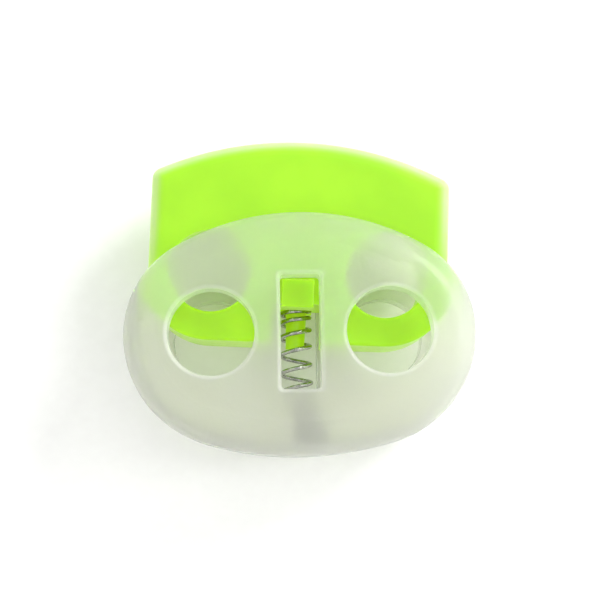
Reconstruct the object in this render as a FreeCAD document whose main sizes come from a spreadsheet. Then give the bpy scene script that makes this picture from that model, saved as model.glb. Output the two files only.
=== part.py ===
import FreeCAD, Part
import os
import re
from math import cos, pi, sin

import Sketcher

# Two-hole spring cord lock, lying on the flat back of its body, millimetres.
# +X runs across the two cord holes, +Y is the way the button springs out, +Z is out of the front.
# The origin is on the back face, midway between the two cord holes.

SIZES = {
    # body: an oval moulding with a slot right through its top
    "body_half_width": 12.0,
    "body_half_height": 8.35,
    "body_thickness": 10.0,
    "upper_end_radius": 7.0,
    "lower_end_radius": 7.7,
    "body_edge_round": 2.3,
    "slot_half_width": 10.7,
    "slot_thickness": 5.6,
    "slot_wall": 1.1,
    "hole_offset": 6.0,
    "hole_radius": 2.92,
    "hole_rim_round": 0.28,
    "window_half_width": 1.34,
    "window_top": 3.8,
    "window_bottom": 3.87,
    "window_corner": 0.25,
    "window_rim_round": 0.3,
    # plunger: a slab with its own two cord holes, a spring notch and a retaining lug
    "plunger_half_width": 10.35,
    "plunger_thickness": 5.2,
    "crown_height": 13.5,
    "crown_radius": 23.0,
    "shoulder_round": 0.8,
    "crown_edge_round": 1.1,
    "foot_edge_round": 0.25,
    "plunger_hole_height": 4.08,
    "plunger_hole_radius": 2.75,
    "plunger_hole_round": 0.2,
    "bar_depth": 1.98,
    "notch_half_width": 1.75,
    "notch_roof": 2.05,
    "post_root_radius": 0.74,
    "post_tip_radius": 0.64,
    "post_tip": 0.9,
    "lug_half_width": 1.1,
    "lug_top": 3.65,
    "lug_bottom": 1.75,
    "lug_span": 6.8,
    "lug_round": 0.1,
    "spring_seat": 2.7,
    "cock_angle": 3.05,
    "cock_height": 5.0,
    # spring: closed coils at both ends, open ones between, leaning a little in its slot
    "wire_radius": 0.15,
    "coil_radius": 1.0,
    "closed_pitch": 0.33,
    "coil_turns": 12.35,
    "closed_turns_below": 4.5,
    "closed_turns_above": 0.35,
    "spring_end_gap": 0.05,
    "spring_top_offset": -0.24,
    "spring_foot_offset": 0.7,
    "lean_top": -2.8,
    "lean_foot": -6.4,
}
FUNCTIONS = ("sqrt", "sin", "cos", "acos", "atan")
START, END, CENTRE = 1, 2, 3
ORIGIN, X_AXIS, Y_AXIS = (-1, 1), -1, -2
UP = FreeCAD.Vector(0, 0, 1)
POINTS_PER_TURN = 16

doc = FreeCAD.newDocument("cord_lock")
sheet = doc.addObject("Spreadsheet::Sheet", "sizes")
for row, (alias, number) in enumerate(SIZES.items(), start=1):
    sheet.set(f"A{row}", alias)
    sheet.set(f"B{row}", str(number))
    sheet.setAlias(f"B{row}", alias)
doc.recompute()


def bound(formula):
    """The formula as the document's expressions read it, each size taken from the sheet."""

    def address(match):
        word = match.group()
        return word if word in FUNCTIONS else f"sizes.{word}"

    return re.sub("[a-z_]+", address, formula)


def value(formula):
    return float(sheet.evalExpression(bound(formula)))


# ---- sketches ----
def new_body(label):
    body = doc.addObject("PartDesign::Body", label)
    body.Label = label
    return body


def new_sketch(body, name, height="0"):
    """A sketch parallel to the body's XY plane, height above it."""
    sketch = body.newObject("Sketcher::SketchObject", name)
    plane = next(feature for feature in body.Origin.OriginFeatures if feature.Role == "XY_Plane")
    sketch.AttachmentSupport = [(plane, "")]
    sketch.MapMode = "FlatFace"
    sketch.setExpression("AttachmentOffset.Base.z", bound(height))
    return sketch


def bind(sketch, constraint, name, formula):
    sketch.renameConstraint(sketch.addConstraint(constraint), name)
    sketch.setExpression(f"Constraints.{name}", bound(formula))


def pin(sketch, geometry, point, x=None, y=None):
    """Ties a point's coordinates to formulas."""
    for kind, formula, axis in (("DistanceX", x, Y_AXIS), ("DistanceY", y, X_AXIS)):
        if formula is None:
            continue
        amount = value(formula)
        if formula == "0":
            sketch.addConstraint(Sketcher.Constraint("PointOnObject", geometry, point, axis))
            continue
        ends = (*ORIGIN, geometry, point) if amount > 0 else (geometry, point, *ORIGIN)
        signed = formula if amount > 0 else f"-({formula})"
        name = f"{kind.lower()}_{geometry}_{point}"
        bind(sketch, Sketcher.Constraint(kind, *ends, abs(amount)), name, signed)


def set_radius(sketch, geometry, formula):
    bind(sketch, Sketcher.Constraint("Radius", geometry, value(formula)), f"radius_{geometry}", formula)


def add_arc(sketch, x, y, radius, start, end):
    """An arc about x and y, between two angles in radians."""
    circle = Part.Circle(FreeCAD.Vector(value(x), value(y), 0), UP, value(radius))
    return sketch.addGeometry(Part.ArcOfCircle(circle, start, end), False)


def add_line(sketch, start, end):
    points = [FreeCAD.Vector(value(x), value(y), 0) for x, y in (start, end)]
    return sketch.addGeometry(Part.LineSegment(*points), False)


def join(sketch, kind, *ends):
    sketch.addConstraint(Sketcher.Constraint(kind, *ends))


def add_polygon(sketch, corners):
    following = corners[1:] + corners[:1]
    sides = [add_line(sketch, corner, other) for corner, other in zip(corners, following)]
    for n, (side, (x, y)) in enumerate(zip(sides, corners)):
        join(sketch, "Coincident", sides[n - 1], END, side, START)
        pin(sketch, side, START, x, y)


def add_circles(sketch, radius, centres):
    for x, y in centres:
        centre = FreeCAD.Vector(value(x), value(y), 0)
        circle = sketch.addGeometry(Part.Circle(centre, UP, value(radius)), False)
        pin(sketch, circle, CENTRE, x, y)
        set_radius(sketch, circle, radius)


# ---- features ----
def pad(body, sketch, length):
    feature = body.newObject("PartDesign::Pad", f"{sketch.Name}_pad")
    feature.Profile = sketch
    feature.setExpression("Length", bound(length))
    doc.recompute()
    return feature


def pocket(body, sketch, depth):
    """Cuts upwards from the sketch, and makes sure that it took something off."""
    before = body.Shape.Volume
    feature = body.newObject("PartDesign::Pocket", f"{sketch.Name}_pocket")
    feature.Profile = sketch
    feature.Reversed = True
    feature.setExpression("Length", bound(depth))
    doc.recompute()
    assert feature.Shape.Volume < before - 0.01, f"{feature.Name} cut nothing"
    return feature


def fillet(body, base, size, wanted):
    """Rounds the edges of base that the test wanted accepts."""
    names = [f"Edge{n}" for n, edge in enumerate(base.Shape.Edges, start=1) if wanted(edge)]
    assert names, f"no edges for {size}"
    feature = body.newObject("PartDesign::Fillet", size)
    feature.Base = (base, names)
    feature.setExpression("Radius", bound(size))
    doc.recompute()
    assert feature.Shape.isValid() and "Invalid" not in feature.State, f"{size} failed"
    return feature


def near(number, other, gap=1e-4):
    return abs(number - other) < gap


def at_height(edge, heights):
    """True if the whole edge lies at one of these heights above the back face."""
    box = edge.BoundBox
    return near(box.ZMin, box.ZMax) and any(near(box.ZMin, height) for height in heights)


def is_circle(edge, radius):
    box = edge.BoundBox
    return near(box.XLength, 2 * radius, 1e-3) and near(box.YLength, 2 * radius, 1e-3)


def is_upright(edge):
    box = edge.BoundBox
    return box.XLength < 1e-4 and box.YLength < 1e-4


# ---- body ----
def side_arcs(end_radius):
    """Formulas for the long arc that joins two end arcs.

    They give its radius, and how far its centre lies past the middle of the body.
    """
    squares = f"(body_half_width^2 - 2*body_half_width*{end_radius} + body_half_height^2)"
    radius = f"({squares}/(2*(body_half_height - {end_radius})))"
    return radius, f"({radius} - body_half_height)"


def joint_angle(end_radius):
    """Where an end arc meets the long arc, in radians from the X axis."""
    _, depth = side_arcs(end_radius)
    return value(f"atan({depth}/(body_half_width - {end_radius}))") * pi / 180


def draw_oval(sketch):
    halves = []
    for sign, end_radius in ((1, "upper_end_radius"), (-1, "lower_end_radius")):
        radius, depth = side_arcs(end_radius)
        turn = joint_angle(end_radius)
        reach = f"(body_half_width - {end_radius})"
        first, last = (0, turn) if sign > 0 else (-turn, 0)
        right = add_arc(sketch, reach, "0", end_radius, first, last)
        left = add_arc(sketch, f"-{reach}", "0", end_radius, pi - last, pi - first)
        top, half_sweep = sign * pi / 2, pi / 2 - turn
        middle = add_arc(sketch, "0", f"{-sign}*{depth}", radius, top - half_sweep, top + half_sweep)
        pin(sketch, right, CENTRE, reach, "0")
        pin(sketch, left, CENTRE, f"-{reach}", "0")
        near_end, far_end = (END, START) if sign > 0 else (START, END)
        join(sketch, "Tangent", right, near_end, middle, far_end)
        join(sketch, "Tangent", left, far_end, middle, near_end)
        set_radius(sketch, middle, radius)
        halves.append((right, left))
    (upper_right, upper_left), (lower_right, lower_left) = halves
    for lower, lower_point, upper, upper_point in (
        (lower_right, END, upper_right, START),
        (lower_left, START, upper_left, END),
    ):
        set_radius(sketch, lower, "lower_end_radius")
        join(sketch, "PointOnObject", lower, lower_point, X_AXIS)
        join(sketch, "Coincident", lower, lower_point, upper, upper_point)


def draw_slot(sketch):
    """A slot whose floor follows the body's outline, one wall inside it, and whose top is open."""
    radius, depth = side_arcs("lower_end_radius")
    turn = joint_angle("lower_end_radius")
    reach = "(body_half_width - lower_end_radius)"
    corner = "(lower_end_radius - slot_wall)"
    side_turn = value(f"acos((slot_half_width - {reach})/{corner})") * pi / 180
    corner_drop = f"-sqrt({corner}^2 - (slot_half_width - {reach})^2)"
    above = "(body_half_height + 1)"
    right = add_arc(sketch, reach, "0", corner, -turn, -side_turn)
    left = add_arc(sketch, f"-{reach}", "0", corner, pi + side_turn, pi + turn)
    floor = add_arc(sketch, "0", depth, f"({radius} - slot_wall)", pi + turn, 2 * pi - turn)
    right_side = add_line(sketch, ("slot_half_width", corner_drop), ("slot_half_width", above))
    mouth = add_line(sketch, ("slot_half_width", above), ("-slot_half_width", above))
    left_side = add_line(sketch, ("-slot_half_width", above), ("-slot_half_width", corner_drop))
    for arc, x in ((right, reach), (left, f"-{reach}")):
        pin(sketch, arc, CENTRE, x, "0")
        set_radius(sketch, arc, corner)
    join(sketch, "Tangent", right, START, floor, END)
    join(sketch, "Tangent", left, END, floor, START)
    set_radius(sketch, floor, f"({radius} - slot_wall)")
    join(sketch, "Coincident", right, END, right_side, START)
    join(sketch, "Coincident", right_side, END, mouth, START)
    join(sketch, "Coincident", mouth, END, left_side, START)
    join(sketch, "Coincident", left_side, END, left, START)
    join(sketch, "Vertical", right_side)
    join(sketch, "Vertical", left_side)
    pin(sketch, mouth, START, "slot_half_width", above)
    pin(sketch, mouth, END, "-slot_half_width", above)


def make_body():
    body = new_body("body")
    faces = (0, value("body_thickness"))
    outline = new_sketch(body, "body_outline")
    draw_oval(outline)
    block = pad(body, outline, "body_thickness")
    rounded = fillet(body, block, "body_edge_round", lambda edge: at_height(edge, faces))

    slot = new_sketch(body, "slot", "(body_thickness - slot_thickness)/2")
    draw_slot(slot)
    pocket(body, slot, "slot_thickness")

    holes = new_sketch(body, "cord_holes")
    add_circles(holes, "hole_radius", [("-hole_offset", "0"), ("hole_offset", "0")])
    drilled = pocket(body, holes, "body_thickness")
    radius = value("hole_radius")
    fillet(body, drilled, "hole_rim_round", lambda edge: at_height(edge, faces) and is_circle(edge, radius))

    window = new_sketch(body, "window")
    add_polygon(
        window,
        [
            ("-window_half_width", "-window_bottom"),
            ("window_half_width", "-window_bottom"),
            ("window_half_width", "window_top"),
            ("-window_half_width", "window_top"),
        ],
    )
    opened = pocket(body, window, "body_thickness")
    half_width = value("window_half_width")
    corners = fillet(
        body,
        opened,
        "window_corner",
        lambda edge: is_upright(edge) and near(abs(edge.CenterOfMass.x), half_width),
    )
    fillet(
        body,
        corners,
        "window_rim_round",
        lambda edge: at_height(edge, faces) and abs(edge.CenterOfMass.x) < half_width + 0.1,
    )
    return body


# ---- plunger ----
def draw_plunger(sketch):
    foot_radius = "(plunger_hole_radius + bar_depth)"
    foot_drop = f"(plunger_hole_height - sqrt({foot_radius}^2 - (plunger_half_width - hole_offset)^2))"
    bar_under = f"(plunger_hole_height - {foot_radius})"
    crown_centre = "(crown_height - crown_radius)"
    shoulder = f"({crown_centre} + sqrt(crown_radius^2 - plunger_half_width^2))"
    foot_turn = value(f"acos((plunger_half_width - hole_offset)/{foot_radius})") * pi / 180
    crown_turn = value("acos(plunger_half_width/crown_radius)") * pi / 180

    right_bar = add_line(sketch, ("notch_half_width", bar_under), ("hole_offset", bar_under))
    right_foot = add_arc(sketch, "hole_offset", "plunger_hole_height", foot_radius, -pi / 2, -foot_turn)
    right_side = add_line(sketch, ("plunger_half_width", foot_drop), ("plunger_half_width", shoulder))
    crown = add_arc(sketch, "0", crown_centre, "crown_radius", crown_turn, pi - crown_turn)
    left_side = add_line(sketch, ("-plunger_half_width", shoulder), ("-plunger_half_width", foot_drop))
    foot_ends = (pi + foot_turn, 3 * pi / 2)
    left_foot = add_arc(sketch, "-hole_offset", "plunger_hole_height", foot_radius, *foot_ends)
    left_bar = add_line(sketch, ("-hole_offset", bar_under), ("-notch_half_width", bar_under))
    notch_left = add_line(sketch, ("-notch_half_width", bar_under), ("-notch_half_width", "notch_roof"))
    roof = add_line(sketch, ("-notch_half_width", "notch_roof"), ("notch_half_width", "notch_roof"))
    notch_right = add_line(sketch, ("notch_half_width", "notch_roof"), ("notch_half_width", bar_under))

    loop = [right_bar, right_foot, right_side, crown, left_side, left_foot, left_bar]
    loop += [notch_left, roof, notch_right]
    for side, following in zip(loop, loop[1:] + loop[:1]):
        join(sketch, "Coincident", side, END, following, START)
    for bar in (right_bar, left_bar, roof):
        join(sketch, "Horizontal", bar)
    for side in (right_side, left_side, notch_left, notch_right):
        join(sketch, "Vertical", side)
    for foot, x in ((right_foot, "hole_offset"), (left_foot, "-hole_offset")):
        pin(sketch, foot, CENTRE, x, "plunger_hole_height")
        set_radius(sketch, foot, foot_radius)
    pin(sketch, right_foot, START, x="hole_offset")
    pin(sketch, left_foot, END, x="-hole_offset")
    pin(sketch, crown, CENTRE, "0", crown_centre)
    set_radius(sketch, crown, "crown_radius")
    pin(sketch, right_side, START, x="plunger_half_width")
    pin(sketch, left_side, START, x="-plunger_half_width")
    pin(sketch, roof, START, "-notch_half_width", "notch_roof")
    pin(sketch, roof, END, x="notch_half_width")


def make_plunger():
    plunger = new_body("plunger")
    low = value("(body_thickness - plunger_thickness)/2")
    faces = (low, low + value("plunger_thickness"))
    outline = new_sketch(plunger, "plunger_outline", "(body_thickness - plunger_thickness)/2")
    draw_plunger(outline)
    slab = pad(plunger, outline, "plunger_thickness")

    half_width = value("plunger_half_width")
    hole_height = value("plunger_hole_height")
    shoulders = fillet(
        plunger,
        slab,
        "shoulder_round",
        lambda edge: is_upright(edge)
        and edge.CenterOfMass.y > hole_height
        and near(abs(edge.CenterOfMass.x), half_width),
    )
    foot_top = value("notch_roof")
    crown = fillet(
        plunger,
        shoulders,
        "crown_edge_round",
        lambda edge: at_height(edge, faces) and edge.CenterOfMass.y > foot_top + 0.5,
    )
    fillet(
        plunger,
        crown,
        "foot_edge_round",
        lambda edge: at_height(edge, faces) and edge.CenterOfMass.y < foot_top - 0.1,
    )

    holes = new_sketch(plunger, "plunger_holes", "(body_thickness - plunger_thickness)/2")
    centres = [("-hole_offset", "plunger_hole_height"), ("hole_offset", "plunger_hole_height")]
    add_circles(holes, "plunger_hole_radius", centres)
    drilled = pocket(plunger, holes, "plunger_thickness")
    radius = value("plunger_hole_radius")
    fillet(
        plunger,
        drilled,
        "plunger_hole_round",
        lambda edge: at_height(edge, faces) and is_circle(edge, radius),
    )

    lug = new_sketch(plunger, "lug", "(body_thickness - lug_span)/2")
    add_polygon(
        lug,
        [
            ("-lug_half_width", "lug_bottom"),
            ("lug_half_width", "lug_bottom"),
            ("lug_half_width", "lug_top"),
            ("-lug_half_width", "lug_top"),
        ],
    )
    raised = pad(plunger, lug, "lug_span")
    lug_faces = [value(f"(body_thickness {sign} lug_span)/2") for sign in "-+"]
    fillet(plunger, raised, "lug_round", lambda edge: at_height(edge, lug_faces))

    seat = new_sketch(plunger, "seat", "(body_thickness - spring_seat)/2")
    add_polygon(
        seat,
        [
            ("-notch_half_width", "0"),
            ("notch_half_width", "0"),
            ("notch_half_width", "notch_roof"),
            ("-notch_half_width", "notch_roof"),
        ],
    )
    pocket(plunger, seat, "spring_seat")

    post = new_sketch(plunger, "post", "body_thickness/2")
    add_polygon(
        post,
        [
            ("0", "-post_tip"),
            ("post_tip_radius", "-post_tip"),
            ("post_root_radius", "notch_roof"),
            ("0", "notch_roof"),
        ],
    )
    turned = plunger.newObject("PartDesign::Revolution", "spring_post")
    turned.Profile = post
    turned.ReferenceAxis = (post, ["V_Axis"])
    turned.Angle = 360
    doc.recompute()

    plunger.Placement = FreeCAD.Placement(FreeCAD.Vector(), FreeCAD.Rotation(FreeCAD.Vector(0, 0, -1), 1))
    plunger.setExpression("Placement.Rotation.Angle", bound("cock_angle"))
    plunger.setExpression("Placement.Base.x", bound("-cock_height*sin(cock_angle)"))
    plunger.setExpression("Placement.Base.y", bound("cock_height - cock_height*cos(cock_angle)"))
    return plunger


# ---- spring ----
def smooth(share):
    """Runs from 0 to 1 with level ends."""
    share = min(max(share, 0.0), 1.0)
    return share * share * (3 - 2 * share)


def make_spring():
    """Closed coils below and above, open ones between, on an axis that leans from the post to its foot."""
    foot = -(sheet.body_half_height - sheet.slot_wall) + sheet.spring_end_gap + sheet.wire_radius
    head = sheet.notch_roof - sheet.spring_end_gap - sheet.wire_radius
    open_rise = head - foot - sheet.closed_pitch * sheet.coil_turns
    open_turns = sheet.coil_turns - sheet.closed_turns_below - sheet.closed_turns_above

    def point(turn):
        rise = sheet.closed_pitch * turn
        rise += open_rise * smooth((turn - sheet.closed_turns_below) / open_turns)
        y = foot + rise
        lean = smooth((sheet.lean_top - y) / (sheet.lean_top - sheet.lean_foot))
        middle = sheet.spring_top_offset + (sheet.spring_foot_offset - sheet.spring_top_offset) * lean
        angle = 2 * pi * turn
        across = middle + sheet.coil_radius * sin(angle)
        return FreeCAD.Vector(across, y, sheet.body_thickness / 2 + sheet.coil_radius * cos(angle))

    count = int(sheet.coil_turns * POINTS_PER_TURN)
    curve = Part.BSplineCurve()
    curve.interpolate([point(n / POINTS_PER_TURN) for n in range(count + 1)])
    path = Part.Wire([curve.toShape()])
    start, along = curve.value(0), curve.tangent(0)[0]
    section = Part.Wire([Part.Circle(start, along, sheet.wire_radius).toShape()])
    coil = doc.addObject("Part::Feature", "spring")
    coil.Label = "spring"
    coil.Shape = path.makePipeShell([section], True, True)
    coil.Placement = FreeCAD.Placement()
    return coil, path.Length


body = make_body()
plunger = make_plunger()
spring, wire_length = make_spring()
doc.recompute()

for item in doc.Objects:
    assert not {"Invalid", "Error"} & set(item.State), f"{item.Name}: {item.State}"
    if item.isDerivedFrom("Sketcher::SketchObject"):
        assert item.solve() == 0, f"{item.Name} doesn't solve"
os.makedirs("parts", exist_ok=True)
for node in (body, plunger, spring):
    shape = node.Shape
    assert not shape.isNull() and shape.isValid() and len(shape.Solids) == 1, node.Label
    shape.exportStep(f"parts/{node.Label}.step")
    print(node.Label, round(shape.Volume, 2), shape.BoundBox)
section_area = pi * sheet.wire_radius**2
print("spring against section times length:", spring.Shape.Volume, section_area * wire_length)
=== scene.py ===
from math import cos, pi, sin

import bpy
from mathutils import Matrix, Vector


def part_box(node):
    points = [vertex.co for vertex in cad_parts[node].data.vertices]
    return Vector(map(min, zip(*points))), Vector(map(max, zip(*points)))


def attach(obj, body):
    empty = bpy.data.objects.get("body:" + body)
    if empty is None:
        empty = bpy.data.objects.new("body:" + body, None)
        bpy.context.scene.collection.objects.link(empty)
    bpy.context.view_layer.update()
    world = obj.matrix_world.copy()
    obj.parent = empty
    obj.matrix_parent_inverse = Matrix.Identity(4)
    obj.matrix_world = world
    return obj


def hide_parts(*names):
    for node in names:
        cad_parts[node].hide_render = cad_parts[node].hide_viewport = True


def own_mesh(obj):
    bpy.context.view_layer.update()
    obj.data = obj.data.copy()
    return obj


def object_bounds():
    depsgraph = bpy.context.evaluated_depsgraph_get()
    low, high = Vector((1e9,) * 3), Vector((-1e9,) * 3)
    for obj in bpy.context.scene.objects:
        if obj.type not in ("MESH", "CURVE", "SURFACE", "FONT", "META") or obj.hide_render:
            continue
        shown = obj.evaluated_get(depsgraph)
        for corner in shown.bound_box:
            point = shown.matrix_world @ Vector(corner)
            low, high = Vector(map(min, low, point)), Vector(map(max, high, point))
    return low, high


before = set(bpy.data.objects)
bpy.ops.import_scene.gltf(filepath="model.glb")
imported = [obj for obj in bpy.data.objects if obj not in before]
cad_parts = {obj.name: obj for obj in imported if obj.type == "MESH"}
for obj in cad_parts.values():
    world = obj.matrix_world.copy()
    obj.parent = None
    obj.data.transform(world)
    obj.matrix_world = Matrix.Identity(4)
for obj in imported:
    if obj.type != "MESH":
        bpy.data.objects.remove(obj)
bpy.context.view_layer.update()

MM = 0.001

# ---- places read from the frame ----
body_low, body_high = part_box("body")
spring_low, spring_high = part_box("spring")
middle_z = (body_low.z + body_high.z) / 2

# ---- the body's openings, in metres ----
HOLE_OFFSET = 6.0 * MM
HOLE_RADIUS = 2.92 * MM
WINDOW_HALF_WIDTH = 1.34 * MM
WINDOW_HALF_HEIGHT = 3.84 * MM

# ---- spring, in metres ----
WIRE_RADIUS = 0.15 * MM
COIL_RADIUS = 1.0 * MM
CLOSED_PITCH = 0.33 * MM
COIL_TURNS = 12.35
CLOSED_TURNS_BELOW = 4.5
CLOSED_TURNS_ABOVE = 0.35
SPRING_TOP_OFFSET = -0.24 * MM
SPRING_FOOT_OFFSET = 0.7 * MM
LEAN_TOP = -2.8 * MM
LEAN_FOOT = -6.4 * MM
STEPS_PER_TURN = 48
WIRE_SIDES = 14

# ---- finish and painted highlights: distances from an edge (painted rim highlight), a ridge's middle (parting line) or the frame's origin (painted pale edge), in metres ----
RIM_HIGHLIGHT_FULL, RIM_HIGHLIGHT_END = 0.14 * MM, 0.36 * MM
RIDGE_CREST, RIDGE_END = 0.03 * MM, 0.07 * MM
HIGHLIGHT_FROM, HIGHLIGHT_FULL = 2 * MM, 8 * MM

# ---- the middle of a noise texture's range ----
NOISE_LOW, NOISE_HIGH = 0.3, 0.7

# ---- studio: each lamp's name, place, diameter in metres and power in watts ----
FLOOR_HALF_SIZE = 1.2
LAMPS = (
    ("key", (0.30, 0.28, 0.24), 0.22, 1.7),
    ("side", (0.42, 0.02, 0.26), 0.14, 0.5),
    ("fill", (-0.35, -0.1, 0.45), 0.4, 0.4),
)
WORLD_STRENGTH = 0.85

# ---- camera: sideways slopes of its view for each unit downwards, and its roll in radians ----
LENS_MM, SENSOR_MM = 87.0, 36.0
CAMERA_DISTANCE = 101.67 * MM
CAMERA_FROM_BELOW, CAMERA_FROM_LEFT, CAMERA_ROLL = 0.1166, 0.029, 0.01745
TARGET_X, TARGET_LIFT = 0.12 * MM, 0.03 * MM
NEAREST, FARTHEST = 0.005, 10


# ---- node materials ----
class Shader:
    """A material with a Principled shader, and short calls for the pattern nodes that drive it."""

    def __init__(self, name):
        self.material = bpy.data.materials.new(name)
        self.material.use_nodes = True
        self.tree = self.material.node_tree
        self.shader = self.tree.nodes["Principled BSDF"]
        self.coordinates = self.add("ShaderNodeTexCoord").outputs["Object"]

    def add(self, kind, **settings):
        node = self.tree.nodes.new(kind)
        for key, setting in settings.items():
            setattr(node, key, setting)
        return node

    def link(self, source, target):
        self.tree.links.new(source, target)

    def set(self, **values):
        for name, number in values.items():
            self.shader.inputs[name.replace("_", " ")].default_value = number

    def noise(self, scale, detail=3.0, roughness=0.5, stretch=(1, 1, 1)):
        """Noise whose grain is scale cycles per metre."""
        spread = self.add("ShaderNodeMapping")
        spread.inputs["Scale"].default_value = stretch
        self.link(self.coordinates, spread.inputs["Vector"])
        texture = self.add("ShaderNodeTexNoise")
        texture.inputs["Scale"].default_value = scale
        texture.inputs["Detail"].default_value = detail
        texture.inputs["Roughness"].default_value = roughness
        self.link(spread.outputs["Vector"], texture.inputs["Vector"])
        return texture.outputs["Fac"]

    def ramp(self, source, *stops):
        """A colour ramp between two stops, each a position and a colour."""
        node = self.add("ShaderNodeValToRGB")
        for element, (position, colour) in zip(node.color_ramp.elements, stops):
            element.position = position
            element.color = (*colour, 1.0)
        self.link(source, node.inputs["Fac"])
        return node.outputs["Color"]

    def spread(self, source, low, high):
        """Maps the middle of a noise's range to low .. high."""
        return self.remap(source, (NOISE_LOW, NOISE_HIGH), (low, high), "LINEAR")

    def remap(self, source, before, after, steps="SMOOTHSTEP"):
        """Maps the range before to the range after, in a smooth step unless told otherwise."""
        node = self.add("ShaderNodeMapRange", interpolation_type=steps)
        for name, number in zip(("From Min", "From Max", "To Min", "To Max"), (*before, *after)):
            node.inputs[name].default_value = number
        self.link(source, node.inputs["Value"])
        return node.outputs["Result"]

    def mix(self, share, first, second):
        node = self.add("ShaderNodeMix", data_type="RGBA")
        self.link(share, node.inputs["Factor"])
        self.link(first, node.inputs["A"])
        self.link(second, node.inputs["B"])
        return node.outputs["Result"]

    def math(self, operation, *terms):
        """A math node over sockets and numbers."""
        node = self.add("ShaderNodeMath", operation=operation)
        for term, socket in zip(terms, node.inputs):
            if isinstance(term, (int, float)):
                socket.default_value = term
            else:
                self.link(term, socket)
        return node.outputs["Value"]

    def bump(self, source, depth, strength=1.0, below=None):
        node = self.add("ShaderNodeBump")
        node.inputs["Distance"].default_value = depth
        node.inputs["Strength"].default_value = strength
        self.link(source, node.inputs["Height"])
        if below:
            self.link(below, node.inputs["Normal"])
        return node.outputs["Normal"]

    def parting_line(self, place):
        """The fine ridge that the mould leaves half-way up the sides."""
        from_middle = self.math("ABSOLUTE", self.math("SUBTRACT", place.outputs["Z"], middle_z))
        ridge = self.remap(from_middle, (RIDGE_END, RIDGE_CREST), (0.0, 1.0))
        return self.bump(ridge, 0.03 * MM, 0.5)


def frosted_shell():
    """Milky see-through plastic, with a painted highlight: whiter and less see-through round the cord
    holes and the window.
    """
    m = Shader("frosted_shell")

    def rim_highlight_of(distance, edge):
        """1 beside an opening's edge, fading to 0 a little way from it: the share of the painted rim
        highlight.
        """
        return m.remap(distance, (edge + RIM_HIGHLIGHT_END, edge + RIM_HIGHLIGHT_FULL), (0.0, 1.0))

    place = m.add("ShaderNodeSeparateXYZ")
    m.link(m.coordinates, place.inputs["Vector"])
    across = m.math("ABSOLUTE", place.outputs["X"])
    along = m.math("ABSOLUTE", place.outputs["Y"])
    offset = m.math("SUBTRACT", across, HOLE_OFFSET)
    squares = m.math("ADD", m.math("MULTIPLY", offset, offset), m.math("MULTIPLY", along, along))
    hole_rim_highlight = rim_highlight_of(m.math("SQRT", squares), HOLE_RADIUS)
    window_rim_highlight = m.math("MULTIPLY", rim_highlight_of(across, WINDOW_HALF_WIDTH), rim_highlight_of(along, WINDOW_HALF_HEIGHT))
    rim_highlight = m.math("MAXIMUM", hole_rim_highlight, window_rim_highlight)

    cloud = m.noise(180, detail=2.0)
    milk = m.ramp(cloud, (0.35, (0.925, 0.94, 0.85)), (0.65, (0.965, 0.975, 0.91)))
    white = m.ramp(cloud, (0.35, (0.94, 0.95, 0.90)), (0.65, (0.97, 0.975, 0.94)))
    # painted highlight: whiter colour and less transmission at the rims of the cord holes and the window
    m.link(m.mix(rim_highlight, milk, white), m.shader.inputs["Base Color"])
    m.link(m.remap(rim_highlight, (0.0, 1.0), (0.87, 0.74)), m.shader.inputs["Transmission Weight"])
    grain = m.noise(5200, detail=3.0)
    m.link(m.spread(grain, 0.42, 0.54), m.shader.inputs["Roughness"])
    flow = m.noise(420, detail=2.0, stretch=(1, 0.5, 1))
    skin = m.bump(flow, 0.03 * MM, 0.5, m.parting_line(place))
    m.link(m.bump(grain, 0.012 * MM, 0.6, skin), m.shader.inputs["Normal"])
    m.set(IOR=1.24, Subsurface_Weight=1.0, Subsurface_Scale=1.0 * MM)
    m.set(Sheen_Weight=0.25, Sheen_Roughness=0.4, Coat_Weight=0.35, Coat_Roughness=0.26)
    m.shader.inputs["Subsurface Radius"].default_value = (2.5, 2.6, 2.3)
    return m.material


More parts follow.
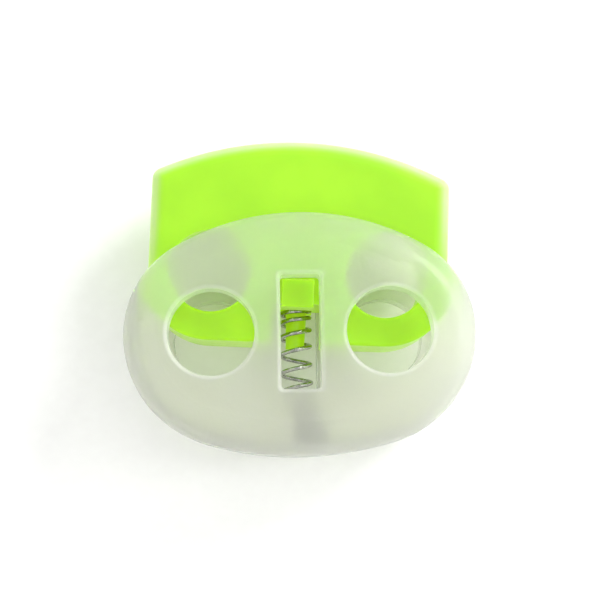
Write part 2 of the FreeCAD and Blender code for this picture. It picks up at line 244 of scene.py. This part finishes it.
def lime_plastic():
    """Fluorescent lime, with a painted highlight: paler on the crown's rounded edges, where the light
    catches them.
    """
    m = Shader("lime_plastic")
    cloud = m.noise(220, detail=2.0)
    lime = m.ramp(cloud, (0.35, (0.20, 0.55, 0.002)), (0.65, (0.25, 0.61, 0.004)))
    pale_highlight = m.ramp(cloud, (0.35, (0.34, 0.52, 0.24)), (0.65, (0.39, 0.57, 0.30)))
    facing = m.add("ShaderNodeSeparateXYZ")
    m.link(m.add("ShaderNodeTexCoord").outputs["Normal"], facing.inputs["Vector"])
    # the painted highlight is a pale edge on the roundings only: off the flat faces, and off the upright
    # sides
    level = m.math("ABSOLUTE", facing.outputs["Z"])
    off_face = m.remap(level, (0.999, 0.75), (0.0, 1.0))
    off_side = m.remap(level, (0.02, 0.25), (0.0, 1.0))
    place = m.add("ShaderNodeSeparateXYZ")
    m.link(m.coordinates, place.inputs["Vector"])
    # painted highlight: stronger higher up the crown, towards the top edge
    crown = m.remap(place.outputs["Y"], (HIGHLIGHT_FROM, HIGHLIGHT_FULL), (0.0, 1.0))
    edge_highlight = m.math("MULTIPLY", m.math("MULTIPLY", off_face, off_side), crown)
    # painted highlight: the base colour turns pale on the lit roundings
    m.link(m.mix(edge_highlight, lime, pale_highlight), m.shader.inputs["Base Color"])
    grain = m.noise(4300, detail=3.0)
    m.link(m.spread(grain, 0.42, 0.55), m.shader.inputs["Roughness"])
    skin = m.bump(m.noise(500, detail=2.0), 0.025 * MM, 0.5, m.parting_line(place))
    m.link(m.bump(grain, 0.008 * MM, 0.6, skin), m.shader.inputs["Normal"])
    m.set(IOR=1.45, Transmission_Weight=0.15, Subsurface_Weight=1.0, Subsurface_Scale=1.0 * MM)
    m.set(Sheen_Weight=0.3, Sheen_Roughness=0.4, Coat_Weight=0.15, Coat_Roughness=0.4)
    # painted light: a faint lime glow of its own, which keeps the plunger bright where the shell shades
    # it
    m.set(Emission_Strength=0.26)
    m.shader.inputs["Subsurface Radius"].default_value = (1.4, 1.6, 0.3)
    m.shader.inputs["Emission Color"].default_value = (0.72, 0.92, 0.02, 1)
    return m.material


def spring_wire():
    """Bright drawn steel."""
    m = Shader("spring_wire")
    drawn = m.noise(2500, detail=4.0)
    steel = m.ramp(drawn, (0.35, (0.34, 0.34, 0.33)), (0.65, (0.50, 0.50, 0.49)))
    m.link(steel, m.shader.inputs["Base Color"])
    m.link(m.spread(drawn, 0.16, 0.3), m.shader.inputs["Roughness"])
    m.link(m.bump(drawn, 0.004 * MM, 0.5), m.shader.inputs["Normal"])
    m.set(Metallic=1.0)
    return m.material


def matte_paper():
    """White paper for the object to lie on."""
    m = Shader("matte_paper")
    fibre = m.noise(900, detail=4.0)
    white = m.ramp(fibre, (0.3, (0.90, 0.90, 0.895)), (0.7, (0.93, 0.93, 0.925)))
    m.link(white, m.shader.inputs["Base Color"])
    m.link(m.spread(fibre, 0.8, 0.95), m.shader.inputs["Roughness"])
    m.link(m.bump(fibre, 0.02 * MM, 0.2), m.shader.inputs["Normal"])
    m.set(Specular_IOR_Level=0.1, Emission_Strength=0.07)
    m.shader.inputs["Emission Color"].default_value = (1, 1, 0.9, 1)
    return m.material


# ---- spring ----
def smooth(share):
    """Runs from 0 to 1 with level ends."""
    share = min(max(share, 0.0), 1.0)
    return share * share * (3 - 2 * share)


def spring_point(turn):
    """The wire's middle after this many turns from the foot."""
    foot = spring_low.y + WIRE_RADIUS
    head = spring_high.y - WIRE_RADIUS
    open_rise = head - foot - CLOSED_PITCH * COIL_TURNS
    open_turns = COIL_TURNS - CLOSED_TURNS_BELOW - CLOSED_TURNS_ABOVE
    y = foot + CLOSED_PITCH * turn + open_rise * smooth((turn - CLOSED_TURNS_BELOW) / open_turns)
    lean = smooth((LEAN_TOP - y) / (LEAN_TOP - LEAN_FOOT))
    axis_x = SPRING_TOP_OFFSET + (SPRING_FOOT_OFFSET - SPRING_TOP_OFFSET) * lean
    angle = 2 * pi * turn
    return Vector((axis_x + COIL_RADIUS * sin(angle), y, middle_z + COIL_RADIUS * cos(angle)))


def tube(name, points, radius, sides):
    """A closed tube along the points, its ring turned by the least amount from one point to the next."""
    vertices, faces = [], []
    across = None
    for n, point in enumerate(points):
        along = (points[min(n + 1, len(points) - 1)] - points[max(n - 1, 0)]).normalized()
        across = along.orthogonal() if across is None else across - along * across.dot(along)
        across.normalize()
        other = along.cross(across)
        for side in range(sides):
            angle = 2 * pi * side / sides
            vertices.append(point + (across * cos(angle) + other * sin(angle)) * radius)
    for n in range(len(points) - 1):
        for side in range(sides):
            following = (side + 1) % sides
            first, second = n * sides, (n + 1) * sides
            faces.append((first + side, first + following, second + following, second + side))
    faces.append(tuple(reversed(range(sides))))
    faces.append(tuple(range(len(vertices) - sides, len(vertices))))
    mesh = bpy.data.meshes.new(name)
    mesh.from_pydata(vertices, [], faces)
    mesh.update()
    piece = bpy.data.objects.new(name, mesh)
    bpy.context.scene.collection.objects.link(piece)
    for polygon in mesh.polygons:
        polygon.use_smooth = len(polygon.vertices) == 4
    return piece


def make_spring():
    """The coil, built in place of the CAD spring, which rides the body."""
    count = int(COIL_TURNS * STEPS_PER_TURN)
    points = [spring_point(n / STEPS_PER_TURN) for n in range(count + 1)]
    piece = tube("coil_spring", points, WIRE_RADIUS, WIRE_SIDES)
    piece.data.materials.append(spring_wire())
    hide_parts("spring")
    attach(piece, "body")
    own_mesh(piece)


# ---- studio ----
def make_floor():
    """A sheet of paper under the body's back face."""
    size = FLOOR_HALF_SIZE
    mesh = bpy.data.meshes.new("floor")
    corners = [(-size, -size), (size, -size), (size, size), (-size, size)]
    mesh.from_pydata([(x, y, body_low.z) for x, y in corners], [], [(0, 1, 2, 3)])
    floor = bpy.data.objects.new("floor", mesh)
    bpy.context.scene.collection.objects.link(floor)
    floor.data.materials.append(matte_paper())


def make_lights():
    """Round soft lamps aimed at the object's middle, in a white room."""
    target = Vector((0, 0, middle_z))
    for name, place, diameter, power in LAMPS:
        light = bpy.data.lights.new(name, "AREA")
        light.shape = "DISK"
        light.size = diameter
        light.energy = power
        lamp = bpy.data.objects.new(name, light)
        bpy.context.scene.collection.objects.link(lamp)
        lamp.location = place
        lamp.rotation_euler = (target - Vector(place)).to_track_quat("-Z", "Y").to_euler()
    world = bpy.data.worlds.new("studio")
    world.use_nodes = True
    background = world.node_tree.nodes["Background"]
    background.inputs["Color"].default_value = (1, 1, 1, 1)
    background.inputs["Strength"].default_value = WORLD_STRENGTH
    bpy.context.scene.world = world


def make_camera():
    """Looks down on the front face, a little from below and from the left."""
    data = bpy.data.cameras.new("camera")
    data.lens, data.sensor_width = LENS_MM, SENSOR_MM
    data.clip_start, data.clip_end = NEAREST, FARTHEST
    camera = bpy.data.objects.new("camera", data)
    bpy.context.scene.collection.objects.link(camera)
    low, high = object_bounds()
    target = Vector((TARGET_X, (low.y + high.y) / 2 + TARGET_LIFT, middle_z))
    forward = Vector((CAMERA_FROM_LEFT, CAMERA_FROM_BELOW, -1)).normalized()
    up = Vector((sin(CAMERA_ROLL), cos(CAMERA_ROLL), 0))
    right = forward.cross(up).normalized()
    up = right.cross(forward)
    turn = Matrix((right, up, -forward)).transposed().to_4x4()
    camera.matrix_world = Matrix.Translation(target - forward * CAMERA_DISTANCE) @ turn
    bpy.context.scene.camera = camera


def dress(node, material):
    """Gives a CAD node its finished material."""
    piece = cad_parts[node]
    for slot in piece.material_slots:
        slot.material = material
    for polygon in piece.data.polygons:
        polygon.material_index = 0


bpy.context.scene.view_settings.view_transform = "Standard"
make_camera()
make_lights()
make_floor()
dress("body", frosted_shell())
dress("plunger", lime_plastic())
make_spring()
